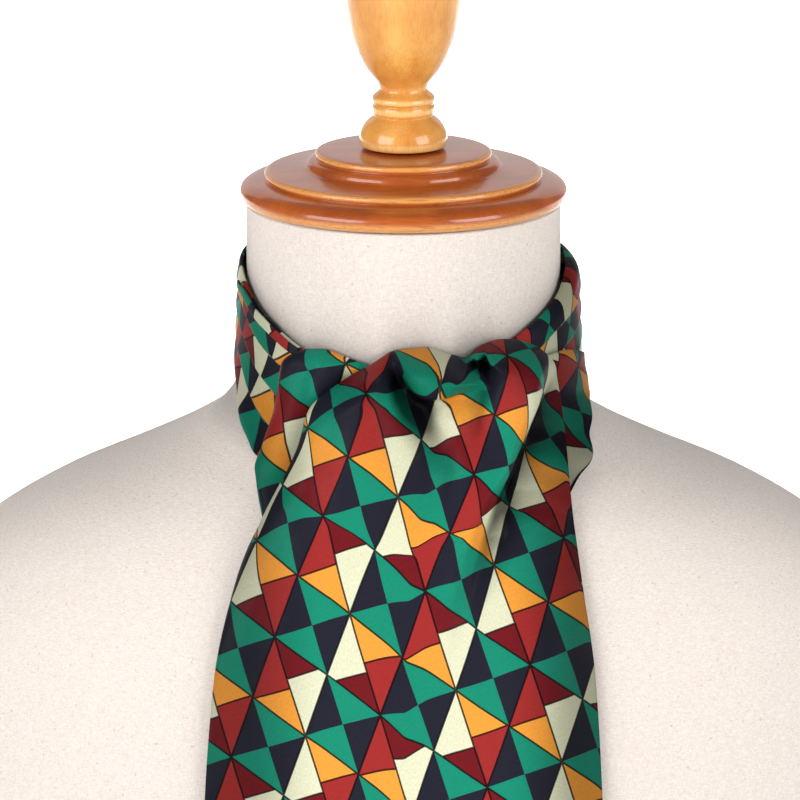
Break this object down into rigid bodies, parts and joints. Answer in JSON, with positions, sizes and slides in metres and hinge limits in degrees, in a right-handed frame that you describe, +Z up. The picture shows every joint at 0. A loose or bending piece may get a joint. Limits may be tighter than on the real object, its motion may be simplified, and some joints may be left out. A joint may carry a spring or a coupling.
{
  "type": "silk cravat on a dress form",
  "caption": "Printed silk day cravat tied round the neck of a limbless linen dress form with a turned wooden neck cap and knob.",
  "frame": {"origin": "on the form's flat base, under the middle of the neck", "axes": "+Z up the neck, -Y the way the wearer faces, +X the wearer's left side"},
  "size_m": [0.3934, 0.2242, 0.5892],
  "materials": {
    "linen": "plain weave, matte",
    "cap_wood": "reddish brown varnish, glossy",
    "knob_wood": "honey varnish, glossy",
    "silk": "printed satin silk, soft sheen"
  },
  "bodies": {
    "root": {"form_torso": "linen", "neck_cap": "cap_wood", "neck_finial": "knob_wood", "neck_band": "silk", "turned_edge": "silk", "cross_wrap": "silk", "right_turn": "silk", "under_blade": "silk", "front_blade": "silk"}
  },
  "joints": []
}
